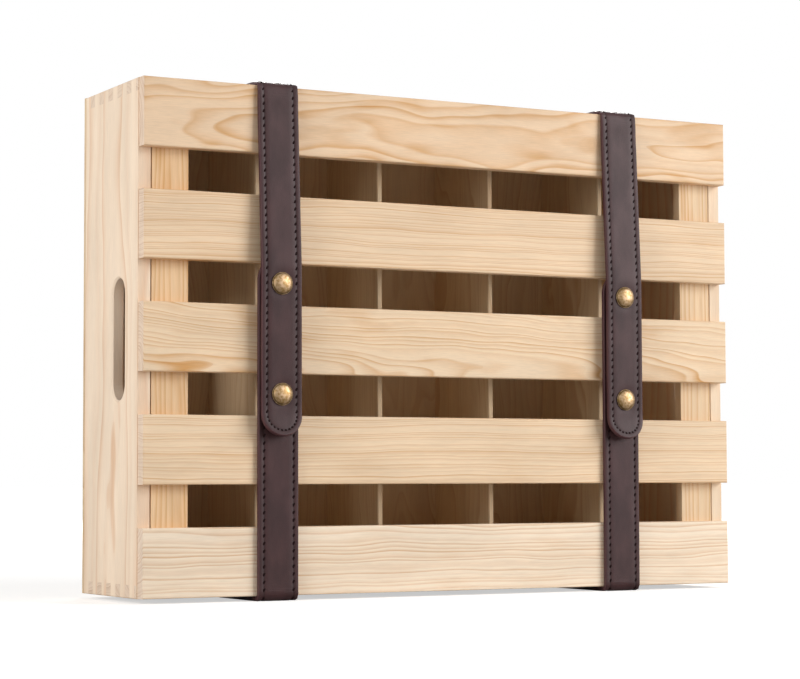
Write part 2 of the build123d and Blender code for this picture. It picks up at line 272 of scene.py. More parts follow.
@dataclass(frozen=True)
class PineFinish(Finish):
    """Sawn and sanded pine: amber rings in pale wood, fine fibres and a dull, open end grain.

    The pattern is a whole log. Its year rings are circles about a heart line beside the board, so the
    figure of the faces and the end grain agree. Pale early wood darkens slowly to a narrow band of late
    wood and drops back at once. Lengths are in millimetres and angles in degrees. The drift is how far
    the rings wander and over what length, and the size of a pattern is its length along the grain and
    twice its width.
    """

    name: str
    grain: Grain
    heart: tuple[float, float] = (0.0, 0.0)
    ring: float = 2.4
    lean: tuple[float, float] = (0.0, 0.0)
    drift: tuple[float, float] = (5.0, 150.0)
    early: str = "F1D3AF"
    late_share: float = 0.85
    amber: float = 0.0
    late: str = "D49A56"
    drift_width: float = 38.0
    seed: float = 0.0
    seed_step: float = 1000.0
    spells_per_ring: float = 0.45
    spell_shift: float = 2.2
    year: tuple[tuple[float, float], ...] = (
        (0.0, 0.25),
        (0.07, 0.0),
        (0.35, 0.10),
        (0.70, 0.55),
        (0.90, 1.0),
        (1.0, 0.45),
    )
    weakest_year: float = 0.25
    amber_size: tuple[float, float, float] = (55.0, 12.0, 12.0)
    cloud_size: tuple[float, float, float] = (90.0, 22.0, 22.0)
    # Wood cells are about 0.04 mm wide, so they are drawn as strands that are wide enough to show.
    fibre_size: tuple[float, float, float] = (14.0, 0.5, 0.5)
    darkest_tone: float = 0.93
    cut: str = "EAD3BE"
    cut_ring: str = "C9A98F"
    cut_share: float = 0.8
    roughness: tuple[float, float] = (0.5, 0.68)
    gloss: float = 0.35
    raised_rings: float = 0.12
    relief: tuple[float, float] = (0.35, 0.12)

    def paint(self, tree: ShaderNodeTree) -> None:
        """Lays out the log, its rings, the end grain, the fibres and a faint raised grain.

        Args:
            tree: The material's node tree.
        """
        coords = add_node(tree, "ShaderNodeTexCoord")
        lean_up, lean_deep = (math.radians(angle) for angle in self.lean)
        in_log = add_node(
            tree,
            "ShaderNodeMapping",
            {
                "Vector": coords.outputs["Object"],
                "Location": (self.seed * self.seed_step, -self.heart[0], -self.heart[1]),
                "Rotation": (0.0, self.grain.turn + lean_up, lean_deep),
                "Scale": (1 / MM, 1 / MM, 1 / MM),
            },
        )
        wandered = self.add_wander(tree, in_log)
        share = self.add_rings(tree, wandered)
        ringed = self.add_face(tree, wandered, share)
        sawn = self.add_end_grain(tree, coords, share, ringed)
        fibre_scale = cells(self.fibre_size)
        fibre_place = add_node(tree, "ShaderNodeMapping", {"Vector": in_log, "Scale": fibre_scale})
        fibre = add_node(
            tree,
            "ShaderNodeTexNoise",
            {"Vector": fibre_place, "Scale": 1.0, "Detail": 3.0, "Roughness": 0.6},
        )
        toned = self.add_tone(tree, in_log, fibre, sawn)
        smooth, rough = self.roughness
        sanded = add_node(tree, "ShaderNodeMapRange", {"Value": fibre, "To Min": smooth, "To Max": rough})
        height = add_node(
            tree, "ShaderNodeMath", {0: share, 1: self.raised_rings, 2: fibre}, operation="MULTIPLY_ADD"
        )
        surface = {"Base Color": toned, "Roughness": sanded, "Specular IOR Level": self.gloss}
        self.add_shader(tree, surface, height)

    def add_wander(self, tree: ShaderNodeTree, in_log: Node) -> Node:
        """Adds the slow drift of the rings along and round the log.

        Args:
            tree: The material's node tree.
            in_log: Place in the log.

        Returns:
            The node with the place in the drifted log.
        """
        drift, drift_length = self.drift
        slow_scale = cells((drift_length, self.drift_width, self.drift_width))
        slow = add_node(tree, "ShaderNodeMapping", {"Vector": in_log, "Scale": slow_scale})
        wander = add_node(tree, "ShaderNodeTexNoise", {"Vector": slow, "Scale": 1.0, "Detail": 2.0})
        # Noise seldom leaves its middle by more than a quarter, so four times that gives the full drift.
        swing = 4 * drift
        return add_node(
            tree,
            "ShaderNodeVectorMath",
            {0: wander.outputs["Color"], 1: (0, swing, swing), 2: in_log},
            operation="MULTIPLY_ADD",
        )

    def add_rings(self, tree: ShaderNodeTree, wandered: Node) -> Node:
        """Adds the year rings, whose widths and depths change from year to year.

        Args:
            tree: The material's node tree.
            wandered: Place in the drifted log.

        Returns:
            The node with the share of late wood.
        """
        ring_scale = (0, 1 / self.ring, 1 / self.ring)
        in_rings = add_node(tree, "ShaderNodeMapping", {"Vector": wandered, "Scale": ring_scale})
        radius = add_node(tree, "ShaderNodeVectorMath", {0: in_rings}, operation="LENGTH")
        spells = add_node(
            tree,
            "ShaderNodeTexNoise",
            {"W": radius, "Scale": self.spells_per_ring, "Detail": 1.0},
            noise_dimensions="1D",
        )
        years = add_node(
            tree, "ShaderNodeMath", {0: spells, 1: self.spell_shift, 2: radius}, operation="MULTIPLY_ADD"
        )
        season = add_node(tree, "ShaderNodeMath", {0: years}, operation="FRACT")
        year = add_node(tree, "ShaderNodeMath", {0: years}, operation="FLOOR")
        weather = add_node(tree, "ShaderNodeTexWhiteNoise", {"W": year}, noise_dimensions="1D")
        band = add_node(tree, "ShaderNodeValToRGB", {"Fac": season})
        set_ramp(band.color_ramp, self.year)
        weakest = self.weakest_year * self.late_share
        strength = add_node(
            tree, "ShaderNodeMapRange", {"Value": weather, "To Min": weakest, "To Max": self.late_share}
        )
        return add_node(tree, "ShaderNodeMath", {0: band, 1: strength}, operation="MULTIPLY")

    def add_face(self, tree: ShaderNodeTree, wandered: Node, share: Node) -> Node:
        """Adds the colour of early and late wood, with amber flames that deepen it in places.

        Args:
            tree: The material's node tree.
            wandered: Place in the drifted log.
            share: Share of late wood.

        Returns:
            The node with the colour of the faces.
        """
        flame_scale = cells(self.amber_size)
        flame_place = add_node(tree, "ShaderNodeMapping", {"Vector": wandered, "Scale": flame_scale})
        flame = add_node(tree, "ShaderNodeTexNoise", {"Vector": flame_place, "Scale": 1.0, "Detail": 1.0})
        flamed = add_node(
            tree,
            "ShaderNodeMapRange",
            {"Value": flame, "From Min": 0.52, "From Max": 0.72, "To Max": self.amber},
            interpolation_type="SMOOTHSTEP",
        )
        deep = add_node(tree, "ShaderNodeMath", {0: share, 1: flamed}, operation="ADD", use_clamp=True)
        return add_node(
            tree,
            "ShaderNodeMix",
            {"Factor": deep, "A": linear(self.early), "B": linear(self.late)},
            data_type="RGBA",
        )

    def add_end_grain(self, tree: ShaderNodeTree, coords: Node, share: Node, ringed: Node) -> Node:
        """Adds the duller colours of cut fibres where a face looks along the grain.

        Args:
            tree: The material's node tree.
            coords: The texture coordinates.
            share: Share of late wood.
            ringed: Colour of the faces.

        Returns:
            The node with the colour of faces and ends.
        """
        along = add_node(
            tree,
            "ShaderNodeVectorMath",
            {0: coords.outputs["Normal"], 1: self.grain.direction},
            operation="DOT_PRODUCT",
        )
        facing = add_node(tree, "ShaderNodeMath", {0: along}, operation="ABSOLUTE")
        end_share = add_node(
            tree,
            "ShaderNodeMapRange",
            {"Value": facing, "From Min": 0.6, "From Max": 0.95, "To Max": self.cut_share},
            interpolation_type="SMOOTHSTEP",
        )
        end_grain = add_node(
            tree,
            "ShaderNodeMix",
            {"Factor": share, "A": linear(self.cut), "B": linear(self.cut_ring)},
            data_type="RGBA",
        )
        return add_node(
            tree, "ShaderNodeMix", {"Factor": end_share, "A": ringed, "B": end_grain}, data_type="RGBA"
        )

    def add_tone(self, tree: ShaderNodeTree, in_log: Node, fibre: Node, sawn: Node) -> Node:
        """Adds broad clouds and fine streaks, which make the colour a little lighter and darker.

        Args:
            tree: The material's node tree.
            in_log: Place in the log.
            fibre: The fibres.
            sawn: Colour of faces and ends.

        Returns:
            The node with the toned colour.
        """
        cloud_scale = cells(self.cloud_size)
        cloud_place = add_node(tree, "ShaderNodeMapping", {"Vector": in_log, "Scale": cloud_scale})
        cloud = add_node(tree, "ShaderNodeTexNoise", {"Vector": cloud_place, "Scale": 1.0})
        noise_range = {"From Min": 0.3, "From Max": 0.7, "To Min": self.darkest_tone}
        clouded = add_node(tree, "ShaderNodeMapRange", noise_range | {"Value": cloud, "To Max": 1.05})
        streaked = add_node(tree, "ShaderNodeMapRange", noise_range | {"Value": fibre, "To Max": 1.04})
        tone = add_node(tree, "ShaderNodeMath", {0: clouded, 1: streaked}, operation="MULTIPLY")
        return add_node(tree, "ShaderNodeVectorMath", {0: sawn, "Scale": tone}, operation="SCALE")


@dataclass(frozen=True)
class LeatherFinish(Finish):
    """Waxed brown bridle leather: soft clouds of wax, pebbled grain, painted shade in the seam groove and a
    paler cut edge.

    The flat pattern of the strap is its UV map in millimetres, so the grain runs on round the bends.
    """

    name: str = "brown_bridle_leather"
    face: str = "341C1D"
    worn: str = "432829"
    edge: str = "4C3033"
    # Painted shade in the groove along the seam.
    seam_shade: str = "1A0F10"
    wax_size: tuple[float, float, float] = (16.0, 30.0, 1.0)
    # The pores of a hide are about 0.3 mm apart, too close to show, so they are drawn coarser.
    pebble: float = 0.9
    pebble_depth: float = 0.3
    wrinkles_per_mm: float = 2.2
    crease_size: tuple[float, float, float] = (9.0, 1.1, 1.0)
    crease_depth: float = 3.0
    edge_width: tuple[float, float] = (0.25, 1.1)
    roughness: tuple[float, float] = (0.55, 0.4)
    gloss: float = 0.28
    relief: tuple[float, float] = (0.5, 0.12)

    def paint(self, tree: ShaderNodeTree) -> None:
        """Lays out the wax clouds, the colour from edge to seam, and the grain.

        Args:
            tree: The material's node tree.
        """
        flat = add_node(tree, "ShaderNodeUVMap", uv_map="flat")
        cloud_place = add_node(tree, "ShaderNodeMapping", {"Vector": flat, "Scale": cells(self.wax_size)})
        cloud = add_node(tree, "ShaderNodeTexNoise", {"Vector": cloud_place, "Scale": 1.0, "Detail": 3.0})
        dull, waxed = self.roughness
        rough = add_node(tree, "ShaderNodeMapRange", {"Value": cloud, "To Min": dull, "To Max": waxed})
        colour = self.add_colour(tree, cloud)
        surface = {"Base Color": colour, "Roughness": rough, "Specular IOR Level": self.gloss}
        self.add_shader(tree, surface, self.add_grain(tree, flat))

    def add_colour(self, tree: ShaderNodeTree, cloud: Node) -> Node:
        """Adds the face colour with its wax, the cut edge and the painted shade in the seam groove.

        Args:
            tree: The material's node tree.
            cloud: The clouds of wax.

        Returns:
            The node with the colour.
        """
        rim = add_node(tree, "ShaderNodeAttribute", attribute_name="rim")
        seam = add_node(tree, "ShaderNodeAttribute", attribute_name="seam")
        edge_from, edge_to = self.edge_width
        burnished = add_node(
            tree,
            "ShaderNodeMapRange",
            {
                "Value": rim.outputs["Fac"],
                "From Min": edge_from,
                "From Max": edge_to,
                "To Min": 1.0,
                "To Max": 0.0,
            },
            interpolation_type="SMOOTHSTEP",
        )
        waxed = add_node(tree, "ShaderNodeMapRange", {"Value": cloud, "From Min": 0.35, "From Max": 0.65})
        colour = linear(self.face)
        for factor, added in (
            (waxed, self.worn),
            (burnished, self.edge),
            (seam.outputs["Fac"], self.seam_shade),
        ):
            colour = add_node(
                tree, "ShaderNodeMix", {"Factor": factor, "A": colour, "B": linear(added)}, data_type="RGBA"
            )
        return colour

    def add_grain(self, tree: ShaderNodeTree, flat: Node) -> Node:
        """Adds the pebbled grain, and the creases across it at the bends.

        Args:
            tree: The material's node tree.
            flat: Place on the flat pattern.

        Returns:
            The node with the height of the grain.
        """
        wrinkles = add_node(
            tree,
            "ShaderNodeTexNoise",
            {"Vector": flat, "Scale": self.wrinkles_per_mm, "Detail": 2.0, "Roughness": 0.6},
        )
        pebbles = add_node(
            tree, "ShaderNodeTexVoronoi", {"Vector": flat, "Scale": 1 / self.pebble}, feature="SMOOTH_F1"
        )
        crease = add_node(tree, "ShaderNodeAttribute", attribute_name="crease")
        line_place = add_node(tree, "ShaderNodeMapping", {"Vector": flat, "Scale": cells(self.crease_size)})
        lines = add_node(tree, "ShaderNodeTexNoise", {"Vector": line_place, "Scale": 1.0, "Detail": 2.0})
        creased = add_node(
            tree, "ShaderNodeMath", {0: crease.outputs["Fac"], 1: lines}, operation="MULTIPLY"
        )
        grain = add_node(
            tree,
            "ShaderNodeMath",
            {0: pebbles, 1: self.pebble_depth, 2: wrinkles},
            operation="MULTIPLY_ADD",
        )
        return add_node(
            tree, "ShaderNodeMath", {0: creased, 1: self.crease_depth, 2: grain}, operation="MULTIPLY_ADD"
        )


@dataclass(frozen=True)
class ThreadFinish(Finish):
    """Waxed dark linen thread: dull, with the fine slanting lines of its twist."""

    name: str = "waxed_linen_thread"
    dark: str = "170C0C"
    light: str = "2B1919"
    twist: float = 0.45
    # Length after which a wave texture with a scale of 1 repeats.
    wave: float = 0.314
    roughness: float = 0.75
    gloss: float = 0.06

    def paint(self, tree: ShaderNodeTree) -> None:
        """Lays out the slanting lines of the twist.

        Args:
            tree: The material's node tree.
        """
        coords = add_node(tree, "ShaderNodeTexCoord")
        scale = self.wave / (self.twist * MM)
        twist = add_node(
            tree,
            "ShaderNodeTexWave",
            {"Vector": coords.outputs["Object"], "Scale": scale, "Distortion": 1.5},
            bands_direction="DIAGONAL",
        )
        colour = add_node(
            tree,
            "ShaderNodeMix",
            {"Factor": twist.outputs["Fac"], "A": linear(self.dark), "B": linear(self.light)},
            data_type="RGBA",
        )
        surface = {"Base Color": colour, "Roughness": self.roughness, "Specular IOR Level": self.gloss}
        self.add_shader(tree, surface)


@dataclass(frozen=True)
class MetalFinish(Finish):
    """Plated metal: patches of bright and aged plating, which break up its shine.

    The roughness goes from the bright to the aged metal, and patch is the size of a patch in millimetres.
    """

    name: str
    bright: str
    aged: str
    roughness: tuple[float, float]
    patch: float
    ageing: tuple[float, float] = (0.4, 0.62)
    relief: tuple[float, float] = (0.3, 0.1)

    def paint(self, tree: ShaderNodeTree) -> None:
        """Lays out the patches.

        Args:
            tree: The material's node tree.
        """
        patches, aged, colour = self.add_patches(tree)
        self.add_metal(tree, colour, aged, patches)

    def add_patches(self, tree: ShaderNodeTree) -> tuple[Node, Node, Node]:
        """Adds the patches of bright and aged metal.

        Args:
            tree: The material's node tree.

        Returns:
            The nodes with the patches, the share of aged metal and the colour.
        """
        coords = add_node(tree, "ShaderNodeTexCoord")
        scale = 1 / (self.patch * MM)
        patches = add_node(
            tree, "ShaderNodeTexNoise", {"Vector": coords.outputs["Object"], "Scale": scale, "Detail": 4.0}
        )
        aged_from, aged_to = self.ageing
        aged = add_node(
            tree, "ShaderNodeMapRange", {"Value": patches, "From Min": aged_from, "From Max": aged_to}
        )
        colour = add_node(
            tree,
            "ShaderNodeMix",
            {"Factor": aged, "A": linear(self.bright), "B": linear(self.aged)},
            data_type="RGBA",
        )
        return patches, aged, colour

    def add_metal(
        self,
        tree: ShaderNodeTree,
        colour: Node,
        aged: Node | NodeSocket,
        height: Node,
        coat: dict | None = None,
    ) -> None:
        """Adds the roughness and the metallic shader.

        Args:
            tree: The material's node tree.
            colour: Colour of the metal.
            aged: Share of aged metal, which is the rougher one.
            height: Height of the relief.
            coat: What the shader's inputs for a clear coat get, if the metal has one.
        """
        smooth, rough = self.roughness
        roughness = add_node(tree, "ShaderNodeMapRange", {"Value": aged, "To Min": smooth, "To Max": rough})
        surface = {"Base Color": colour, "Roughness": roughness, "Metallic": 1.0}
        self.add_shader(tree, surface | (coat or {}), height)


@dataclass(frozen=True)
class CapFinish(MetalFinish):
    """Antique brass under lacquer: paler in the middle of each dome and browner towards its edge, which is
    partly wear and patina and partly a painted highlight with painted shade round it.

    The patina and painted shade are the piece's own attribute, so they follow the shape of each cap.
    """

    # Brown of the patina, which also serves as painted shade towards the edge of each dome.
    patina: str = "5E4A24"
    coat: tuple[float, float] = (0.3, 0.5)

    def paint(self, tree: ShaderNodeTree) -> None:
        """Lays out the rubbed brass and the patina over it, which also paints a highlight in the middle of
        each dome and shade towards its edge.

        Args:
            tree: The material's node tree.
        """
        patches, _, brass = self.add_patches(tree)
        # Share of patina and painted shade: low in the middle of the dome as a painted highlight, higher
        # towards its edge.
        grime = add_node(tree, "ShaderNodeAttribute", attribute_name="patina").outputs["Fac"]
        colour = add_node(
            tree, "ShaderNodeMix", {"Factor": grime, "A": brass, "B": linear(self.patina)}, data_type="RGBA"
        )
        weight, roughness = self.coat
        lacquer = {"Coat Weight": weight, "Coat Roughness": roughness}
        self.add_metal(tree, colour, grime, patches, lacquer)


@dataclass(frozen=True)
class FloorFinish(Finish):
    """Matte white studio floor, which the camera sees fade from the crate's shadow to plain white.

    The glow is its strength at the crate and far off, and reach the distances of both in metres.
    """

    name: str = "white_studio_floor"
    paint_colour: str = "DCDBD9"
    glow: tuple[float, float] = (0.56, 0.95)
    reach: tuple[float, float] = (0.5, 2.5)

    def paint(self, tree: ShaderNodeTree) -> None:
        """Lays out the paint, and the glow that only the camera sees.

        Args:
            tree: The material's node tree.
        """
        seen = add_node(tree, "ShaderNodeLightPath")
        matte = add_node(tree, "ShaderNodeBsdfDiffuse", {"Color": linear(self.paint_colour)})
        coords = add_node(tree, "ShaderNodeTexCoord")
        far = add_node(tree, "ShaderNodeVectorMath", {0: coords.outputs["Object"]}, operation="LENGTH")
        near_reach, far_reach = self.reach
        near_glow, far_glow = self.glow
        glow = add_node(
            tree,
            "ShaderNodeMapRange",
            {
                "Value": far,
                "From Min": near_reach,
                "From Max": far_reach,
                "To Min": near_glow,
                "To Max": far_glow,
            },
        )
        shown = add_node(
            tree, "ShaderNodeMath", {0: seen.outputs["Is Camera Ray"], 1: glow}, operation="MULTIPLY"
        )
        light = add_node(tree, "ShaderNodeEmission", {"Color": (1, 1, 1, 1), "Strength": shown})
        both = add_node(tree, "ShaderNodeAddShader", {0: matte, 1: light})
        add_node(tree, "ShaderNodeOutputMaterial", {"Surface": both})


@dataclass
class Woodwork:
    """The box, its dividers and the slatted lid, each board cut from its own part of a log.

    The heart of a slat's log is measured from the middle of the slat, and the other hearts from the
    middle of the crate.
    """

    slats: tuple[PineFinish, ...] = (
        PineFinish("pine", Grain.ACROSS, (30, 10), 4.8, (1.2, 2.4), (6.5, 120), "F1D2B0", 0.75, 0.3),
        PineFinish("pine", Grain.ACROSS, (10, 62), 2.1, (0.5, 0.3), (3.0, 150), "F4D8B7", 0.9, 0.08),
        PineFinish("pine", Grain.ACROSS, (30, -15), 2.5, (-0.5, -2.6), (4.5, 130), "F5DAB9", 0.8, 0.25),
        PineFinish("pine", Grain.ACROSS, (12, -60), 2.6, (0.3, 0.4), (3.0, 150), "F5DAB9", 0.85, 0.08),
        PineFinish("pine", Grain.ACROSS, (24, 46), 2.8, (0.4, 1.0), (3.5, 150), "FFECD4", 0.8, 0.1),
    )
    slat_seed: float = 1.37
    side: PineFinish = PineFinish(
        "pine", Grain.UPRIGHT, ring=11.0, lean=(1.1, 0.8), drift=(7.0, 150.0), late_share=0.8, late="E1B48D"
    )
    panel: PineFinish = PineFinish(
        "pine", Grain.ACROSS, ring=2.8, lean=(0.3, 0.2), early="F0D8B8", late="CC9A68"
    )
    batten: PineFinish = PineFinish(
        "pine", Grain.UPRIGHT, ring=4.2, lean=(0.5, 0.4), drift=(3.0, 150.0), amber=0.3
    )
    # Back panel and dividers: darker than the other boards, partly their own tone and partly painted shade
    # of the dim inside of the crate.
    thin: PineFinish = PineFinish(
        "thin_pine",
        Grain.UPRIGHT,
        ring=3.6,
        lean=(0.8, 0.6),
        drift=(9.0, 150.0),
        early="DCC19C",
        late_share=0.6,
        late="BD9166",
    )
    thin_heart: tuple[float, float] = (160.0, 60.0)
    thin_seed: int = 17
    dividers: int = 4

    def boards(self) -> Iterator[tuple[str, PineFinish]]:
        """Cuts every board from its log.

        Yields:
            Each wooden node's name with its finish.
        """
        for number, slat in enumerate(self.slats, start=1):
            node = f"slat_{number}"
            low, high = box_mm(node)
            middle = (low + high) / 2
            heart = (middle.y + slat.heart[0], middle.z + slat.heart[1])
            seed = number * self.slat_seed
            yield node, replace(slat, name=f"{slat.name}_{node}", heart=heart, seed=seed)
        for node, wood, heart, seed, early in (
            ("left_side", self.side, (20, 270), 8, "F8E2C9"),
            ("right_side", self.side, (-30, -262), 9, "F4DCBF"),
            ("top_panel", self.panel, (-10, 294), 11, self.panel.early),
            ("bottom_panel", self.panel, (20, -47), 12, self.panel.early),
            ("left_batten", self.batten, (-30, 263), 14, "EFCCA2"),
            ("right_batten", self.batten, (-30, -167), 15, "F1D4AF"),
        ):
            yield node, replace(wood, name=f"{wood.name}_{node}", heart=heart, seed=seed, early=early)
        beside, apart = self.thin_heart
        thin_nodes = ["back_panel", *(f"divider_{i + 1}" for i in range(self.dividers))]
        for number, node in enumerate(thin_nodes):
            name = f"{self.thin.name}_{node}"
            heart = (beside, apart * number)
            yield node, replace(self.thin, name=name, heart=heart, seed=self.thin_seed + number)

    def build(self, frame: dict) -> None:
        """Dresses every wooden node of the frame."""
        for node, finish in self.boards():
            dress_node(frame, node, finish.material())


@dataclass(frozen=True)
class Run:
    """One straight or evenly curved run of a route in millimetres, straight where its curvature is 0."""

    length: float
    start: Vector
    ahead: Vector
    curvature: float = 0.0

    def at(self, distance: float) -> tuple[Vector, Vector]:
        """Finds a place on the run.

        Args:
            distance: Distance from the run's start.

        Returns:
            The point and the direction there.
        """
        if self.curvature == 0.0:
            return self.start + self.ahead * distance, self.ahead
        turn = distance * self.curvature
        side = Vector((-self.ahead.y, self.ahead.x))
        direction = self.ahead * math.cos(turn) + side * math.sin(turn)
        step = self.ahead * math.sin(turn) + side * (1 - math.cos(turn))
        return self.start + step / self.curvature, direction


@dataclass(frozen=True)
class Route:
    """The strap's middle line in the Y-Z plane: straight runs with rounded corners, in millimetres."""

    points: tuple[tuple[float, float], ...]
    radii: tuple[float, ...]

    @cache
    def runs(self) -> list[Run]:
        """Splits the line into straight and curved runs.

        Returns:
            The runs in order.
        """
        found = []
        start = Vector(self.points[0])
        for i, radius in enumerate(self.radii, start=1):
            corner = Vector(self.points[i])
            ahead = (corner - start).normalized()
            leaving = (Vector(self.points[i + 1]) - corner).normalized()
            turn = math.atan2(ahead.x * leaving.y - ahead.y * leaving.x, ahead.dot(leaving))
            cut = radius * math.tan(abs(turn) / 2)
            curvature = math.copysign(1 / radius, turn)
            found.append(Run((corner - start).length - cut, start, ahead))
            found.append(Run(radius * abs(turn), corner - ahead * cut, ahead, curvature))
            start = corner + leaving * cut
        rest = Vector(self.points[-1]) - start
        return [*found, Run(rest.length, start, rest.normalized())]

    @cache
    def length(self) -> float:
        """Length of the whole line."""
        return sum(run.length for run in self.runs())

    def at(self, distance: float) -> tuple[Vector, Vector]:
        """Finds a place on the line.

        Args:
            distance: Distance from the line's start.

        Returns:
            The point and the direction there.
        """
        *before, last = self.runs()
        for run in before:
            if distance <= run.length:
                return run.at(distance)
            distance -= run.length
        return last.at(distance)


@dataclass(frozen=True)
class Bend:
    """Where a strap piece bends from the crate to the strap's own end, in millimetres."""

    body: str
    hinge: tuple[float, float, float]
    reach: float


@dataclass
class StrapPiece:
    """One length of stitched strap: cut flat, given its thickness and edges, then laid on its route.

    Sizes are in millimetres. A place on the flat pattern is across the strap from its middle line and
    along it from the piece's square end. Studs and creases are places along it, and a pressed band is
    its place along, its reach and its depth.
    """

    name: str
    nodes: tuple[str, ...]
    centre_x: float
    route: Route
    bend: Bend | None = None
    round_tip: bool = True
    backwards: bool = False
    studs: tuple[float, ...] = ()
    creases: tuple[float, ...] = ()
    pressed: tuple[tuple[float, float, float], ...] = ()
    inner_seam_from: float = math.inf
    width: float = 30.0
    thickness: float = LEATHER_THICKNESS
    edge_round: float = 0.7
    edge_steps: int = 3
    edge_reach: float = 0.3
    sharp_angle: float = 1.0
    row: float = 2.5
    tip_steps: int = 18
    middle_columns: tuple[float, ...] = (0.0, 3.5, 7.0)
    seam_columns: tuple[float, ...] = (-1.4, -0.5, 0.0, 0.5, 1.4)
    seam_inset: float = 3.9
    groove: float = 0.3
    groove_reach: float = 0.7
    groove_shade: float = 0.5
    crease_reach: float = 9.0
    cap_radius: float = CAP_RADIUS
    seat: float = 0.35
    seat_rim: float = 0.3
    seat_reach: float = 1.6
    stitch_pitch: float = 5.2
    tip_pitch: float = 2.9
    stitch_share: float = 0.74
    stitch_faces: tuple[int, int] = (8, 6)
    thread: float = 2.0
    thread_rise: float = 0.6
    slant: float = -30.0
    sunk: float = 0.15
    sunk_by_press: float = 0.25
    heading_step: float = 0.5
    facing_down: float = -0.9

    @property
    def columns(self) -> list[float]:
        """Places across half the strap, from the middle to the edge, closer at the seam."""
        seam = self.width / 2 - self.seam_inset
        return [*self.middle_columns, *(seam + shift for shift in self.seam_columns), self.width / 2]

    @property
    def straight(self) -> float:
        """Length of the piece up to where a round tip starts."""
        return self.route.length() - (self.width / 2 if self.round_tip else 0.0)

    def rim_distance(self, across: float, along: float) -> float:
        """Measures how far a place is from the cut edge.

        Args:
            across: Place across the strap.
            along: Place along the strap.

        Returns:
            Distance from the nearest long edge, or from the edge of the round tip.
        """
        beyond = along - self.straight
        if self.round_tip and beyond > 0:
            return self.width / 2 - math.hypot(across, beyond)
        return self.width / 2 - abs(across)

    def press(self, along: float) -> float:
        """How deep the leather is pressed over its whole width at a place along the strap."""
        return sum(depth * bell(along - place, reach) for place, reach, depth in self.pressed)

    def surface_lift(self, across: float, along: float) -> float:
        """Finds how far the outer face rises, or sinks at the seam, round a cap and where it is pressed.

        Args:
            across: Place across the strap.
            along: Place along the strap.

        Returns:
            The rise over a flat face, which is negative where the face sinks.
        """
        lift = -self.groove * bell(self.rim_distance(across, along) - self.seam_inset, self.groove_reach)
        for stud in self.studs:
            distance = math.hypot(across, along - stud)
            lift -= self.seat_rim * bell(distance - self.cap_radius, self.seat_reach)
            lift -= self.seat if distance < self.cap_radius else 0.0
        return lift - self.press(along)

    def place(self, across: float, along: float, lift: float) -> Vector:
        """Carries a place on the flat pattern onto the route.

        Args:
            across: Place across the strap.
            along: Place along the strap.
            lift: Height over the strap's middle.

        Returns:
            The point in the crate, in metres.
        """
        point, ahead = self.route.at(self.route.length() - along if self.backwards else along)
        spot = point + Vector((ahead.y, -ahead.x)) * lift
        return Vector((self.centre_x + across, spot.x, spot.y)) * MM

    def flat_pattern(self) -> BMesh:
        """Cuts the flat pattern: rows extruded along the strap, and a round tip spun from the last row.

        Returns:
            The pattern, one face thick.
        """
        pattern = bmesh.new()
        half = self.columns
        first = [pattern.verts.new((x, 0, 0)) for x in [-x for x in reversed(half[1:])] + half]
        edges = [pattern.edges.new(pair) for pair in zip(first, first[1:])]
        rows = max(1, round(self.straight / self.row))
        for _ in range(rows):
            grown = bmesh.ops.extrude_edge_only(pattern, edges=edges)["geom"]
            verts = [v for v in grown if isinstance(v, BMVert)]
            bmesh.ops.translate(pattern, verts=verts, vec=(0, self.straight / rows, 0))
            edges = [e for e in grown if isinstance(e, BMEdge)]
            edges = [e for e in edges if abs(e.verts[0].co.y - e.verts[1].co.y) < SAME]
        if self.round_tip:
            half_row = [e for e in edges if min(v.co.x for v in e.verts) > -SAME]
            bmesh.ops.spin(
                pattern,
                geom=half_row + list(dict.fromkeys(v for e in half_row for v in e.verts)),
                cent=(0, self.straight, 0),
                axis=(0, 0, 1),
                angle=math.pi,
                steps=self.tip_steps,
            )
            bmesh.ops.remove_doubles(pattern, verts=pattern.verts, dist=MERGE)
        return pattern

    def is_cut_edge(self, edge: BMEdge) -> bool:
        """Tells whether an edge of the slab is a sharp one along the strap's side or round its tip.

        Args:
            edge: An edge of the slab.

        Returns:
            True if it is to be rounded.
        """
        middle = (edge.verts[0].co + edge.verts[1].co) / 2
        at_rim = self.rim_distance(middle.x, middle.y) < self.edge_reach
        return at_rim and edge.calc_face_angle(0.0) > self.sharp_angle

    def slab(self) -> BMesh:
        """Gives the flat pattern its thickness and rounds its cut edges.

        Returns:
            The slab, whose middle lies at a height of 0.
        """
        work = self.flat_pattern()
        bmesh.ops.recalc_face_normals(work, faces=work.faces)
        grown = bmesh.ops.extrude_face_region(work, geom=list(work.faces))["geom"]
        top = [v for v in grown if isinstance(v, BMVert)]
        bmesh.ops.translate(work, verts=top, vec=(0, 0, self.thickness))
        bmesh.ops.translate(work, verts=work.verts, vec=(0, 0, -self.thickness / 2))
        bmesh.ops.recalc_face_normals(work, faces=work.faces)
        bmesh.ops.bevel(
            work,
            geom=[e for e in work.edges if self.is_cut_edge(e)],
            offset=self.edge_round,
            segments=self.edge_steps,
            affect="EDGES",
            profile=0.5,
            material=-1,
        )
        return work

    def mark(self, work: BMesh) -> None:
        """Keeps the flat pattern as a UV map, and the rim, the creases and the painted shade of the seam
        groove as attributes.

        Args:
            work: The slab, still flat.
        """
        flat = work.loops.layers.uv.new("flat")
        rim_layer = work.verts.layers.float.new("rim")
        crease_layer = work.verts.layers.float.new("crease")
        seam_layer = work.verts.layers.float.new("seam")
        for vert in work.verts:
            rim = self.rim_distance(vert.co.x, vert.co.y)
            creased = [bell(vert.co.y - crease, self.crease_reach) for crease in self.creases]
            vert[rim_layer] = max(0.0, rim)
            vert[crease_layer] = max(creased, default=0.0)
            # Painted shade in the seam groove, strongest on the stitch line.
            vert[seam_layer] = self.groove_shade * bell(rim - self.seam_inset, self.groove_reach)
        for face in work.faces:
            face.smooth = True
            for loop in face.loops:
                loop[flat].uv = (loop.vert.co.x, loop.vert.co.y)

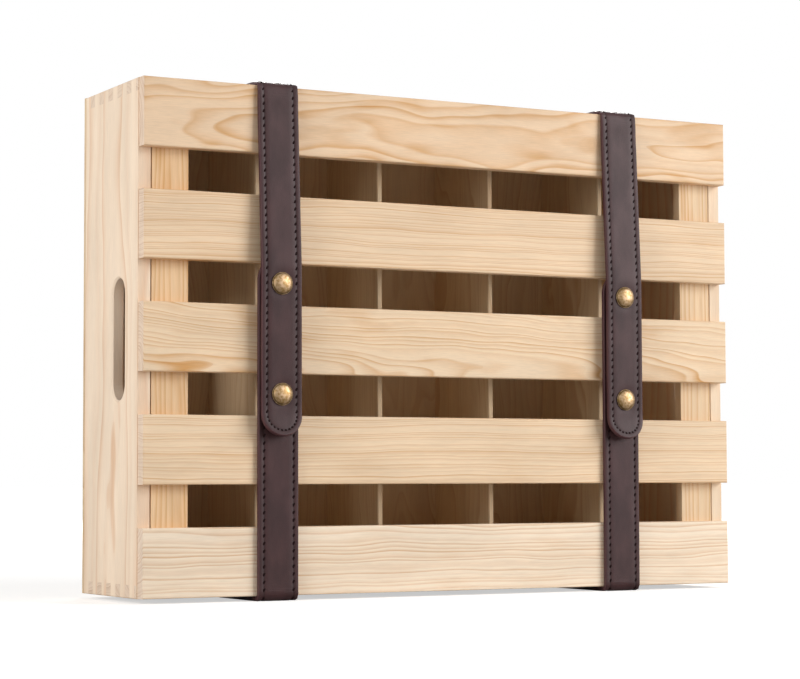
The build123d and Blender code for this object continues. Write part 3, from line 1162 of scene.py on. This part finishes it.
    def leather(self) -> Object:
        """Builds the leather: the slab is marked, pressed and laid on its route.

        Returns:
            The leather's object.
        """
        work = self.slab()
        self.mark(work)
        for vert in work.verts:
            across, along, lift = vert.co
            if lift > self.thickness / 2 - SAME:
                lift += self.surface_lift(across, along)
            else:
                lift -= self.press(along) * max(0.0, 2 * lift / self.thickness)
            vert.co = self.place(across, along, lift)
        bmesh.ops.recalc_face_normals(work, faces=work.faces)
        # On a thin bent sheet the faces can all come out inward, and the volume shows it.
        if work.calc_volume(signed=True) < 0:
            bmesh.ops.reverse_faces(work, faces=work.faces)
        return finish_mesh(work, f"{self.name}_leather")

    def stitch_places(self) -> Iterator[tuple[float, float, float, float]]:
        """Lays out the seam on the flat pattern: both long rows, then the row round the tip.

        Yields:
            Each stitch's places across and along, its heading in radians and its length.
        """
        seam = self.width / 2 - self.seam_inset
        slant = math.radians(-self.slant if self.backwards else self.slant)
        count = round(self.straight / self.stitch_pitch)
        step = self.straight / count
        for side in (-1, 1):
            for i in range(count):
                yield side * seam, (i + 0.5) * step, slant, step * self.stitch_share
        if self.round_tip:
            turns = round(math.pi * seam / self.tip_pitch)
            length = math.pi * seam / turns * self.stitch_share
            for i in range(turns):
                angle = math.pi * (i + 0.5) / turns
                along = self.straight + seam * math.sin(angle)
                yield seam * math.cos(angle), along, slant - angle, length

    def stitch_matrix(
        self, across: float, along: float, heading: float, length: float, face: int
    ) -> Matrix:
        """Places one stitch on a face of the laid leather.

        Args:
            across: Place across the strap.
            along: Place along the strap.
            heading: Turn from the strap's length, in radians.
            length: Length of the stitch.
            face: 1 for the outer face, -1 for the inner one.

        Returns:
            The matrix that stretches a ball of 1 mm radius to the stitch and puts it in its place.
        """
        lift = face * (self.thickness / 2) + (self.surface_lift(across, along) if face > 0 else 0.0)
        sunk = self.sunk + self.sunk_by_press * self.press(along)
        centre = self.place(across, along, lift - face * sunk)
        ahead = (self.place(across, along + self.heading_step, lift) - centre).normalized()
        run = (ahead * math.cos(heading) + Vector((1, 0, 0)) * math.sin(heading)).normalized()
        normal = (self.place(across, along, lift + face) - centre).normalized()
        if normal.z < self.facing_down:
            # The crate stands on this stitch, so the leather takes it up.
            centre += Vector((0, 0, self.thread_rise * MM))
        axes = Matrix((run, normal.cross(run), normal)).transposed().to_4x4()
        size = Matrix.Diagonal((length / 2, self.thread / 2, self.thread_rise, 1.0))
        return Matrix.Translation(centre) @ axes @ size

    def stitches(self) -> Object:
        """Builds the thread of the seam, on the outer face and on what shows of the inner one.

        Returns:
            The thread's object.
        """
        around, up = self.stitch_faces
        stitch = bmesh.new()
        bmesh.ops.create_uvsphere(stitch, u_segments=around, v_segments=up, radius=MM)
        bmesh.ops.rotate(stitch, verts=stitch.verts, matrix=Matrix.Rotation(math.pi / 2, 3, "Y"))
        seam = bmesh.new()
        carrier = bpy.data.meshes.new("stitch")
        for across, along, heading, length in self.stitch_places():
            for face in (1,) if along < self.inner_seam_from else (1, -1):
                laid = stitch.copy()
                laid.transform(self.stitch_matrix(across, along, heading, length, face))
                laid.to_mesh(carrier)
                laid.free()
                seam.from_mesh(carrier)
        stitch.free()
        bpy.data.meshes.remove(carrier)
        for face in seam.faces:
            face.smooth = True
        return finish_mesh(seam, f"{self.name}_stitches")

    def build(self, leather: Material, thread: Material) -> None:
        """Builds the piece and its seam; a piece without a bend is tied to the crate, and one with a bend
        has its place baked into its mesh.

        Args:
            leather: Material of the leather.
            thread: Material of the seam.
        """
        hide = self.leather()
        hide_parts(*self.nodes)
        for piece, material in ((hide, leather), (self.stitches(), thread)):
            piece.data.materials.append(material)
            if self.bend is None:
                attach(piece, "crate")
            else:
                start = Vector(self.bend.hinge) * MM
                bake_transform(piece)
            log.info("%s has %d faces", piece.name, len(piece.data.polygons))


@dataclass
class Strap:
    """One leather strap: the flap over the front, the run down the back and the tail from below.

    Its places are read from the CAD nodes, and its own sizes are in millimetres. The turn is where the
    leather leaves the top or the underside of the crate.
    """

    side: Side
    flap_slant_start: float = 14.0
    slant_end_above_stud: float = 11.9
    curl_start_below_stud: float = 7.7
    curl: float = 4.0
    curl_extra: float = 0.4
    tip_rise: float = 0.6
    bow_radius: float = 60.0
    bend_reach: float = 30.0
    crease_after_turn: float = 2.3
    inner_seam_after_turn: float = 12.0
    press_after_turn: float = 1.0
    press_reach: float = 7.0
    press_depth: float = 1.2

    def __post_init__(self) -> None:
        """Reads from the frame where the strap runs."""
        wrap_low, wrap_high = box_mm(self.side.name_of("strap_wrap"))
        tail_low, tail_high = box_mm(self.side.name_of("tail"))
        flap_low, _ = box_mm(self.side.name_of("flap"))
        caps_low, caps_high = box_mm(self.side.name_of("snap_caps"))
        thick = tail_high.y - tail_low.y
        self.centre_x = (wrap_low.x + wrap_high.x) / 2
        self.half = thick / 2
        self.top = wrap_high.z - self.half
        self.bottom = wrap_low.z + self.half
        self.back = box_mm("back_panel")[1].y
        self.front = (tail_low.y + tail_high.y) / 2
        self.hinge_y = wrap_low.y
        self.corner = self.hinge_y - self.front
        self.turn = self.back - self.hinge_y
        self.upper_stud = caps_high.z - CAP_RADIUS
        self.lower_stud = caps_low.z + CAP_RADIUS
        self.flap_front = flap_low.y
        self.flap_tip = flap_low.z + self.tip_rise
        self.tail_tip = tail_high.z

    def flap(self) -> StrapPiece:
        """Lays out the flap: over the top edge, slanting off the slats, and curled in at its tip.

        Returns:
            The flap with its run over the top.
        """
        hinge_z = self.top - self.corner
        outer = self.flap_front + self.curl + self.half
        curl_start = self.lower_stud - self.curl_start_below_stud
        fall = curl_start - self.flap_tip
        curl_radius = (self.curl**2 + fall**2) / (2 * self.curl)
        curl_drop = curl_radius * self.curl / fall
        route = Route(
            (
                (self.back, self.top),
                (self.front, self.top),
                (self.front, hinge_z - self.flap_slant_start),
                (outer, self.upper_stud + self.slant_end_above_stud),
                (outer, curl_start - curl_drop),
                (outer - self.curl, self.flap_tip),
            ),
            (self.corner, self.bow_radius, self.bow_radius, curl_radius - SLACK),
        )
        tip = route.length() - self.curl_extra
        return StrapPiece(
            self.side.name_of("flap"),
            (self.side.name_of("flap"), self.side.name_of("flap_bend")),
            self.centre_x,
            route,
            Bend(
                self.side.name_of("flap_end"), (self.centre_x, self.hinge_y, hinge_z), -self.bend_reach
            ),
            studs=(tip - (self.upper_stud - self.flap_tip), tip - (self.lower_stud - self.flap_tip)),
            creases=(self.turn + self.crease_after_turn,),
            pressed=((self.turn + self.press_after_turn, self.press_reach, self.press_depth),),
            inner_seam_from=self.turn + self.inner_seam_after_turn,
        )

    def tail(self) -> StrapPiece:
        """Lays out the tail: from under the crate up its front, beneath the flap.

        Returns:
            The tail with its run underneath.
        """
        hinge_z = self.bottom + self.corner
        route = Route(
            ((self.front, self.tail_tip), (self.front, self.bottom), (self.back, self.bottom)),
            (self.corner,),
        )
        tip = route.length()
        return StrapPiece(
            self.side.name_of("tail"),
            (self.side.name_of("tail"), self.side.name_of("tail_bend")),
            self.centre_x,
            route,
            Bend(self.side.name_of("tail_end"), (self.centre_x, self.hinge_y, hinge_z), self.bend_reach),
            backwards=True,
            studs=(tip - (self.tail_tip - self.upper_stud), tip - (self.tail_tip - self.lower_stud)),
            creases=(self.turn + self.crease_after_turn,),
            inner_seam_from=self.turn + self.inner_seam_after_turn,
        )

    def spine(self) -> StrapPiece:
        """Lays out the run down the back, between the flap's and the tail's.

        Returns:
            The run down the back.
        """
        far = self.back + self.half
        points = ((self.back, self.bottom), (far, self.bottom), (far, self.top), (self.back, self.top))
        return StrapPiece(
            self.side.name_of("back"),
            (self.side.name_of("strap_wrap"),),
            self.centre_x,
            Route(points, (self.half - SLACK, self.half - SLACK)),
            round_tip=False,
        )

    def build(self, leather: Material, thread: Material) -> None:
        """Builds the strap's three lengths with their seams."""
        for piece in (self.flap(), self.tail(), self.spine()):
            piece.build(leather, thread)


@dataclass
class PressStudCaps:
    """The two domed caps of one flap, each with its rolled rim, post and socket, spun from one profile.

    Sizes are in millimetres. The socket is its radius and height, the recess in it its radius and the
    depth of its floor, and each patina the share that is brown there; on the dome and the rim this is also
    painted shade round a painted highlight.
    """

    side: Side
    radius: float = CAP_RADIUS
    rise: float = 3.2
    rim: float = 0.5
    post: float = 2.0
    flap: float = LEATHER_THICKNESS
    socket: tuple[float, float] = (5.7, 1.7)
    recess: tuple[float, float] = (3.1, 0.35)
    edge: float = 0.25
    dome_steps: int = 10
    rim_angles: tuple[int, ...] = (150, 105, 60, 15, -30, -90)
    steps: int = 40
    crease_angle: float = 50.0
    # Dome and rim shares also paint light: a pale middle as a painted highlight, darker towards the dome's
    # edge, and a paler rim as a painted highlight.
    dome_patina: float = 0.6
    dome_power: float = 2.2
    rim_patina: float = 0.3
    groove_patina: float = 0.5
    groove_reach: float = 0.35
    back_patina: float = 0.8

    def profile(self) -> list[tuple[float, float]]:
        """Draws half a section, from the top of the dome over the rim to the floor of the socket.

        Returns:
            Points as distance from the axis and height over the leather.
        """
        roll = self.rim / 2
        dome_radius = self.radius - self.rim
        swings = [math.pi / 2 * i / self.dome_steps for i in range(self.dome_steps + 1)]
        dome = [(dome_radius * math.sin(t), roll + (self.rise - roll) * math.cos(t)) for t in swings]
        turns = [math.radians(angle) for angle in self.rim_angles]
        rolled = [(self.radius - roll + roll * math.cos(t), roll + roll * math.sin(t)) for t in turns]
        socket_radius, socket_height = self.socket
        recess_radius, recess_floor = self.recess
        back = -self.flap
        base = back - socket_height
        behind = [
            (self.post, 0.0),
            (self.post, back),
            (socket_radius - self.edge, back),
            (socket_radius, back - self.edge),
            (socket_radius, base + self.edge),
            (socket_radius - self.edge, base),
            (recess_radius + self.edge, base),
            (recess_radius, base + self.edge),
            (recess_radius, back - recess_floor),
            (0.0, back - recess_floor),
        ]
        return dome + rolled + behind

    def patina(self, distance: float, height: float) -> float:
        """Finds how brown the brass is at a point of the profile: patina, and on the dome and rim also
        painted shade round a painted highlight.

        Args:
            distance: Distance from the axis.
            height: Height over the leather.

        Returns:
            The share of patina and painted shade.
        """
        if height <= 0:
            return self.back_patina
        groove = self.radius - self.rim
        # Paler in the middle of the dome and darker towards its edge: partly patina, partly a painted
        # highlight with painted shade; the rim is kept paler as a painted highlight.
        on_dome = self.dome_patina * (distance / self.radius) ** self.dome_power
        worn = on_dome if distance < groove else self.rim_patina
        return min(1.0, worn + self.groove_patina * bell(distance - groove, self.groove_reach))

    def build(self, brass: Material) -> None:
        """Spins one cap, doubles it and sets both where the CAD caps are.

        Args:
            brass: Material of the caps.
        """
        low, high = box_mm(self.side.name_of("snap_caps"))
        upper_z, lower_z = high.z - self.radius, low.z + self.radius
        work = bmesh.new()
        patina_layer = work.verts.layers.float.new("patina")
        section = []
        for distance, height in self.profile():
            section.append(work.verts.new((distance, -height, 0)))
            section[-1][patina_layer] = self.patina(distance, height)
        lines = [work.edges.new(pair) for pair in zip(section, section[1:])]
        bmesh.ops.spin(
            work,
            geom=section + lines,
            cent=(0, 0, 0),
            axis=(0, 1, 0),
            angle=2 * math.pi,
            steps=self.steps,
            use_merge=True,
        )
        bmesh.ops.remove_doubles(work, verts=work.verts, dist=MERGE)
        twin = bmesh.ops.duplicate(work, geom=[*work.verts, *work.edges, *work.faces])["geom"]
        twin = [v for v in twin if isinstance(v, BMVert)]
        bmesh.ops.translate(work, verts=twin, vec=(0, 0, lower_z - upper_z))
        bmesh.ops.translate(work, verts=work.verts, vec=((low.x + high.x) / 2, low.y + self.rise, upper_z))
        bmesh.ops.scale(work, verts=work.verts, vec=(MM, MM, MM))
        bmesh.ops.recalc_face_normals(work, faces=work.faces)
        for face in work.faces:
            face.smooth = True
        for edge in work.edges:
            edge.smooth = edge.calc_face_angle(0.0) < math.radians(self.crease_angle)
        caps = finish_mesh(work, self.side.name_of("brass_caps"))
        caps.data.materials.append(brass)
        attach(caps, self.side.name_of("flap_end"))
        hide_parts(self.side.name_of("snap_caps"))
        log.info("%s has %d faces", caps.name, len(caps.data.polygons))


@dataclass
class Hardware:
    """Press studs, screws and staples."""

    # Stamped brass, browned in a bath and rubbed back: warm, with a soft broad shine; the pale middle of
    # each dome is partly a painted highlight.
    caps: CapFinish = CapFinish(
        "antique_brass_cap",
        "C7A988",
        "98794B",
        (0.48, 0.58),
        2.0,
        ageing=(0.38, 0.62),
        relief=(0.15, 0.08),
    )
    # The same brass where no hand rubs it: darker and more even.
    brass: MetalFinish = MetalFinish("antique_brass_plate", "AF9A78", "8D7550", (0.34, 0.44), 1.6)
    # Zinc on steel: pale, cold and nearly bright.
    steel: MetalFinish = MetalFinish("zinc_plated_screw", "B9B7B3", "8D8B88", (0.26, 0.4), 1.2)
    # Wire from a hot zinc bath: greyer and duller than the screws.
    staple: MetalFinish = MetalFinish("galvanised_staple_wire", "A9A7A2", "7F7C77", (0.3, 0.45), 1.5)

    def build(self, frame: dict) -> None:
        """Builds the caps and dresses every metal node.
        """
        caps = self.caps.material()
        brass = self.brass.material()
        steel = self.steel.material()
        staple = self.staple.material()
        for side in Side:
            PressStudCaps(side).build(caps)
            dress_node(frame, side.name_of("snap_studs"), brass)
        dress_node(frame, "strap_screws", steel)
        dress_node(frame, "lid_staples", staple)
        dress_node(frame, "back_staples", staple)


@dataclass(frozen=True)
class Lamp:
    """A square soft box that looks at the crate: its place and size in metres and its power in watts."""

    name: str
    place: tuple[float, float, float]
    size: float
    power: float


@dataclass
class Studio:
    """White floor and surround, soft boxes and the photograph's camera.

    Places are in metres, the camera's angles in degrees, and its lens and sensor in millimetres.
    """

    lamps: tuple[Lamp, ...] = (
        Lamp("key", (2.2, -2.0, 1.2), 1.9, 86.0),
        Lamp("fill", (-2.8, -0.5, 1.0), 1.6, 54.0),
        Lamp("rear", (1.4, 2.6, 1.5), 1.4, 45.0),
    )
    aim: tuple[float, float, float] = (0.0, 0.0, 0.18)
    world_level: float = 0.12
    floor_size: float = 30.0
    floor_steps: int = 8
    camera_place: tuple[float, float, float] = (-0.82216, -1.49585, 0.08081)
    yaw: float = 28.299
    pitch: float = 3.481
    roll: float = -0.171
    lens: float = 105.04
    sensor: float = 36.0
    clip: tuple[float, float] = (0.05, 60.0)

    def build(self) -> None:
        """Builds the surround, the floor, the lamps and the camera."""
        self.build_world()
        self.build_floor()
        for lamp in self.lamps:
            self.build_lamp(lamp)
        self.build_camera()
        log.info("studio has %d lamps", len(self.lamps))

    def build_world(self) -> None:
        """Makes the surround white to the camera and in reflections, and plain in level elsewhere."""
        world = bpy.data.worlds.new("white_surround")
        world.use_nodes = True
        tree = world.node_tree
        tree.nodes.clear()
        seen = add_node(tree, "ShaderNodeLightPath").outputs
        shown = seen["Is Camera Ray"]
        for ray in ("Is Glossy Ray", "Is Transmission Ray"):
            shown = add_node(tree, "ShaderNodeMath", {0: shown, 1: seen[ray]}, operation="MAXIMUM")
        level = add_node(
            tree, "ShaderNodeMapRange", {"Value": shown, "To Min": self.world_level, "To Max": 1.0}
        )
        white = add_node(tree, "ShaderNodeBackground", {"Color": (1, 1, 1, 1), "Strength": level})
        add_node(tree, "ShaderNodeOutputWorld", {"Surface": white})
        bpy.context.scene.world = world

    def build_floor(self) -> None:
        """Lays a wide white floor, which keeps the crate's shadow."""
        work = bmesh.new()
        steps = self.floor_steps
        bmesh.ops.create_grid(work, x_segments=steps, y_segments=steps, size=self.floor_size)
        floor = finish_mesh(work, "studio_floor")
        floor.data.materials.append(FloorFinish().material())

    def build_lamp(self, lamp: Lamp) -> None:
        """Hangs one soft box and turns it to the crate.

        Args:
            lamp: The soft box.
        """
        light = bpy.data.lights.new(lamp.name, "AREA")
        light.shape = "SQUARE"
        light.size = lamp.size
        light.energy = lamp.power
        made = add_object(lamp.name, light)
        made.location = lamp.place
        toward = Vector(self.aim) - Vector(lamp.place)
        made.rotation_euler = toward.to_track_quat("-Z", "Y").to_euler()

    def build_camera(self) -> None:
        """Sets the camera where the photograph was taken from."""
        camera = bpy.data.cameras.new("camera")
        camera.lens = self.lens
        camera.sensor_width = self.sensor
        camera.clip_start, camera.clip_end = self.clip
        made = add_object("camera", camera)
        made.matrix_world = (
            Matrix.Translation(self.camera_place)
            @ Matrix.Rotation(-math.radians(self.yaw), 4, "Z")
            @ Matrix.Rotation(math.pi / 2 + math.radians(self.pitch), 4, "X")
            @ Matrix.Rotation(math.radians(self.roll), 4, "Z")
        )
        bpy.context.scene.camera = made


def main() -> None:
    """Builds and dresses the crate."""
    logging.basicConfig(level=logging.INFO, format="%(message)s")
    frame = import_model()
    bpy.context.scene.view_settings.view_transform = "Standard"
    Studio().build()
    Woodwork().build(frame)
    leather = LeatherFinish().material()
    thread = ThreadFinish().material()
    for side in Side:
        Strap(side).build(leather, thread)
    Hardware().build(frame)


if __name__ == "__main__":
    main()
